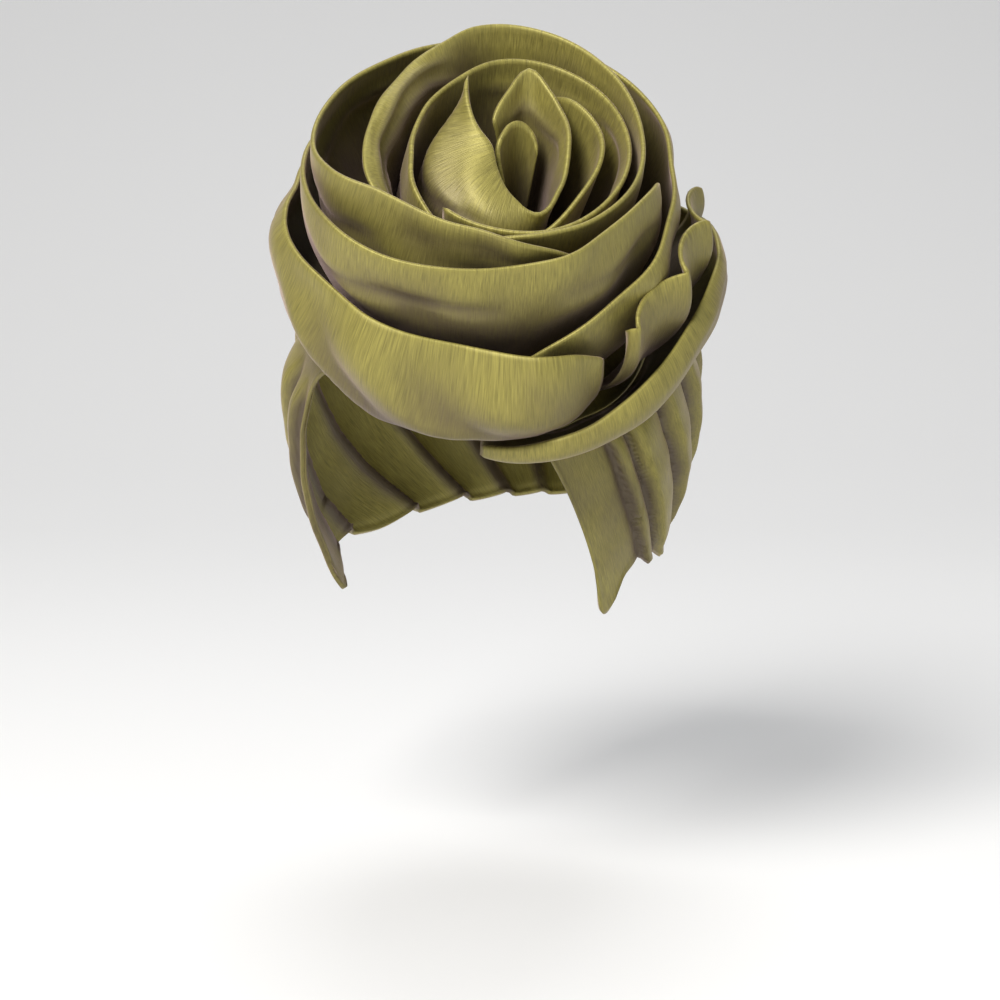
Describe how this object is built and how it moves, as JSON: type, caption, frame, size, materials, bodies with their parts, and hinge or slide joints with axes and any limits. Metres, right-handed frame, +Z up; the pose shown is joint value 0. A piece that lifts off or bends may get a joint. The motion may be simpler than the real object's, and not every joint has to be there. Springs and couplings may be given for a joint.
{
  "type": "gele head tie with a cloth rose",
  "caption": "Satin head tie worn as a pleated cap with ear tabs, with a large rose of folded, wound satin bands on its left front.",
  "frame": {"origin": "the inside of the cap's crown, where the wearer's head bears on it", "axes": "+Z up, -Y the way that the wearer faces, +X the wearer's left"},
  "size_m": [0.1954, 0.2449, 0.2386],
  "materials": {
    "cap_satin": "shot satin, olive gold with a mauve shade",
    "rose_satin": "shot satin, olive gold with a mauve shade"
  },
  "bodies": {
    "root": {"cap": "cap_satin", "rose_heart_core": "rose_satin", "rose_heart_wrap": "rose_satin", "rose_heart_petal": "rose_satin", "rose_inner_turn": "rose_satin", "rose_top_loop": "rose_satin", "rose_mid_turn": "rose_satin", "rose_front_band": "rose_satin", "rose_collar": "rose_satin", "rose_ruffle": "rose_satin", "rose_side_lip": "rose_satin"}
  },
  "joints": []
}
